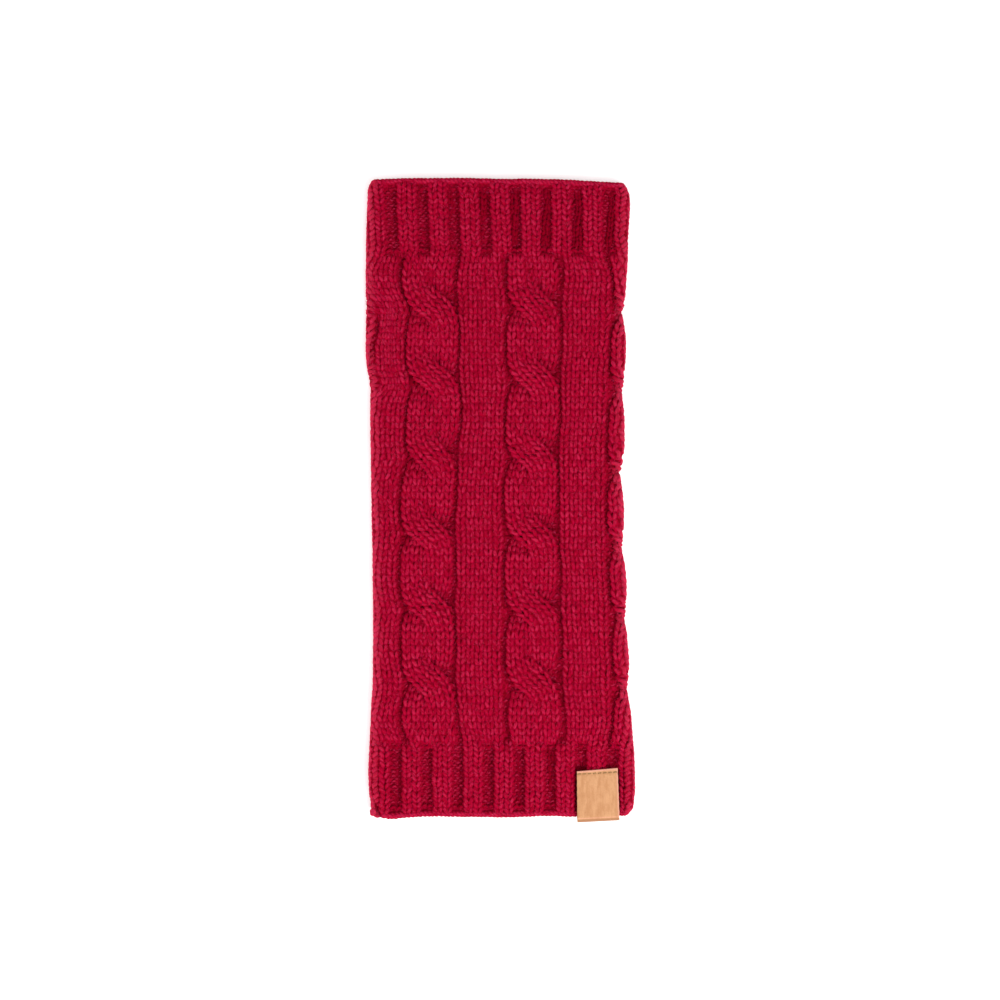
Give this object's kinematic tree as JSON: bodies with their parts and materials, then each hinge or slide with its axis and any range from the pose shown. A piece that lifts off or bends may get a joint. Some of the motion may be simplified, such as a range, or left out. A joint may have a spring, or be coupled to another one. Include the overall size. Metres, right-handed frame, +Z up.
{
  "type": "arm warmer",
  "caption": "Cable-knit arm warmer lying flat: a knitted tube with ribbed cuffs at both ends and a small blank leather label folded over the lower hem.",
  "frame": {"origin": "centre of the garment's bounding box, on the surface that it lies on", "axes": "+X across the arm, to the right as it lies; +Y along the arm, from the labelled cuff towards the plain cuff; +Z up from the surface"},
  "size_m": [0.1076, 0.2582, 0.0089],
  "materials": {
    "knit": "crimson heathered wool-blend knit: matt, slightly fuzzy, two-ply yarn",
    "leather": "natural tan leather, satin, fine grain, raw cut edges",
    "thread": "waxed tan sewing thread"
  },
  "bodies": {
    "root": {"cuff_top": "knit", "arm_tube": "knit", "cuff_bottom": "knit", "label": "leather"}
  },
  "joints": []
}
